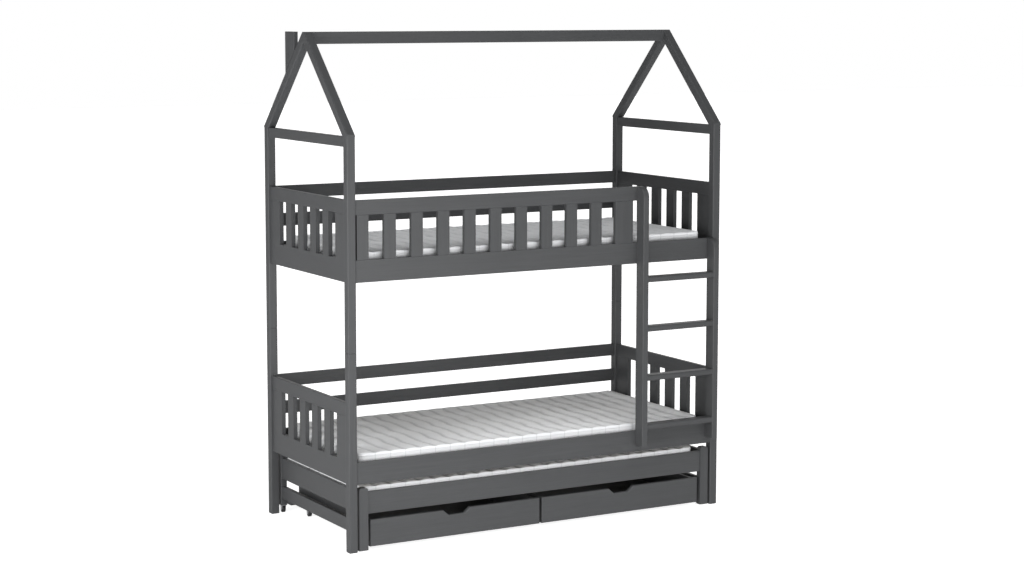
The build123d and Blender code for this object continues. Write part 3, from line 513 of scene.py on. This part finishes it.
def knit_cover(name):
    """White knitted quilt cover, whose seams hold small stitches, with painted shade that darkens it
    towards its seams.
    """
    cover, tree, shader, place = new_finish(name)
    x, y, z = add_node(tree, "SeparateXYZ", {0: place}).outputs

    def ridges(way, spacing):
        """Even ridges round the cover, where way is X or Y."""
        climb = math_step(tree, "ADD", way, z)
        return math_step(tree, "SINE", math_step(tree, "MULTIPLY", climb, 2 * math.pi / spacing))

    # Knit: small ribs one way crossed by rows of loops the other way
    rib_spacing, loop_spacing, stitch_length = 0.0022, 0.0028, 0.0065
    knit = math_step(tree, "MULTIPLY", ridges(x, rib_spacing), ridges(y, loop_spacing))
    fuzz = noise(tree, place, 700, detail=3)
    creases = noise(tree, place, 55, detail=4, distortion=0.8)
    patches = noise(tree, place, 6)

    # Seams: painted shade darkens the cover towards the bottom of each seam, with a thread that shows
    # at every stitch
    from_seam = add_node(tree, "Attribute", attribute_name="from_seam").outputs["Fac"]
    seam_reach = {"Value": from_seam, "From Min": 0.0, "From Max": 0.0165}
    painted_seam_shade = add_node(tree, "MapRange", seam_reach, interpolation_type="SMOOTHSTEP").outputs[0]
    thread_width, thread_from = 0.0009, -0.35
    stitch = math_step(tree, "GREATER_THAN", ridges(y, stitch_length), thread_from)
    in_thread = math_step(tree, "LESS_THAN", from_seam, thread_width)
    thread = math_step(tree, "MULTIPLY", stitch, in_thread)

    # The seam tone is painted shade: the dark end of the cover's colour, where the seams sink in
    seam_shade_tone = (0.59, 0.60, 0.615)
    top_tone = (0.865, 0.875, 0.89)
    # The mix: painted seam shade, uneven tone in patches, and the lighter thread
    depth = blend(tree, (painted_seam_shade, 0.75), (patches, 0.25), (thread, 0.5))
    relief = blend(tree, (knit, 0.10), (fuzz, 0.25), (creases, 0.9), (thread, 0.5))
    feed(shader, {
        "Base Color": tone_between(tree, depth, seam_shade_tone, top_tone),
        "Roughness": between(tree, fuzz, 0.72, 0.92),
        "Specular IOR Level": 0.25,
        "Sheen Weight": 0.25,
        "Sheen Roughness": 0.45,
        "Normal": fine_relief(tree, relief, 0.6, 0.0016),
    })
    return cover


white_knit = knit_cover("white_knit_cover")
lower_cover = mattress_shape("mattress_lower_cover", *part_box("mattress_lower"))
swell(lower_cover)
lower_points = np.empty(len(lower_cover.data.vertices) * 3, np.float32)
lower_cover.data.vertices.foreach_get("co", lower_points)
lower_low, lower_high = [np.array(corner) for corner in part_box("mattress_lower")]
lower_share = (lower_points.reshape(-1, 3) - lower_low) / (lower_high - lower_low)
# The lower cover comes last, so that its copies don't carry what is said of it alone
for node_name, body in (
    ("mattress_upper", "bed_frame"),
    ("trundle_mattress", "trundle"),
    ("mattress_lower", "bed_frame"),
):
    mattress = lower_cover
    if node_name != "mattress_lower":
        mattress = lower_cover.copy()
        mattress.data = lower_cover.data.copy()
        mattress.name = mattress.data.name = node_name + "_cover"
        bpy.context.scene.collection.objects.link(mattress)
        new_low, new_high = [np.array(corner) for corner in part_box(node_name)]
        new_points = new_low + lower_share * (new_high - new_low)
        mattress.data.vertices.foreach_set("co", new_points.astype(np.float32).ravel())
        mattress.data.update()
    mattress.data.materials.append(white_knit)
    mattress.data.shade_smooth()
    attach(mattress, body)
    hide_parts(node_name)

# Roof: a tie across the post tops of each gable, two sloped rafters that are cut plumb
# where they meet at the apex, and a ridge from one gable to the other.
finish_nodes(paint_along_y, "gable_tie_left", "gable_tie_right")
rafter_paint = graphite_paint("graphite_paint_rafters", "rafter")
finish_nodes(rafter_paint, "rafters_left", "rafters_right")
finish_nodes(paint_along_x, "ridge_beam")

# Chimney: one short upright board at the left gable. Its foot is cut to the slope and
# dowelled on, and it is only there for the look of a house.
finish_nodes(paint_along_z, "chimney_board")

# Ladder: two stiles with a round front corner at the top, screwed on through the rails,
# and four rungs between them.
finish_nodes(paint_along_z, "ladder_stile_left", "ladder_stile_right")
finish_nodes(paint_along_x, "ladder_rungs")


# Joints: grooved beech dowels glued into the board ends, zinc-plated cam fittings that
# pull the rails to the posts, and countersunk screws that hold the ladder.
def brushed_metal(name, tone, scratch_scale):
    """Plated steel with fine scratches and slightly uneven plating."""
    metal, tree, shader, place = new_finish(name)
    scratches = noise(tree, place, scratch_scale, detail=4)
    dull_tone = [part * 0.8 for part in tone]
    feed(shader, {
        "Base Color": tone_between(tree, scratches, dull_tone, tone),
        "Metallic": 1.0,
        "Roughness": between(tree, scratches, 0.25, 0.45),
    })
    return metal


beech_light = (0.68, 0.52, 0.36)
beech_dark = (0.58, 0.42, 0.27)
beech = bare_wood("beech_dowel", beech_light, beech_dark)
finish_nodes(beech, "frame_dowels", "trundle_dowels")
zinc_plate = brushed_metal("zinc_plate", (0.72, 0.72, 0.74), 420)
finish_nodes(zinc_plate, "cam_fittings", "ladder_screws")

# Trundle bed: broad front posts with rounded tops, a front rail, a rear rail and a low
# flat one that stops the drawers, and two boards at each end, painted as the frame. Its
# own slats carry the third mattress.
finish_nodes(paint_along_z, "trundle_posts")
finish_nodes(paint_along_x, "trundle_rails")
finish_nodes(paint_along_y, "trundle_side_boards")
trundle_strip_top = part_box("trundle_slat_base")[1].z - slat_thickness - slat_clearance
trundle_pine = bare_wood("pine_slats_trundle", pine_light, pine_dark, trundle_strip_top)
finish_nodes(trundle_pine, "trundle_slat_base")


# Casters: pressed steel housings with a riveted axle, and black moulded wheels. Four
# stand under the trundle and four under each drawer.
def moulded_plastic(name):
    """Black plastic with a fine moulded skin and a little dust."""
    plastic, tree, shader, place = new_finish(name)
    skin = noise(tree, place, 1400)
    dust = noise(tree, place, 60, detail=4)
    clean_tone = (0.012, 0.012, 0.013)
    dusty_tone = (0.034, 0.034, 0.035)
    feed(shader, {
        "Base Color": tone_between(tree, dust, clean_tone, dusty_tone, 0.4, 0.75),
        "Roughness": between(tree, dust, 0.38, 0.6),
        "Normal": fine_relief(tree, skin, 0.3, 0.0002),
    })
    return plastic


black_plastic = moulded_plastic("black_plastic")
finish_nodes(black_plastic, *[name for name in nodes if "_wheel_" in name])
finish_nodes(zinc_plate, *[name for name in nodes if name.endswith("_casters")])

# Drawers: painted fronts with a finger notch on boxes of thin painted boards. They
# stand side by side on their casters under the trundle's front rail.
finish_nodes(paint_along_x, "drawer_left_front", "drawer_right_front")
finish_nodes(paint_along_y, "drawer_left_box", "drawer_right_box")

bpy.context.view_layer.update()
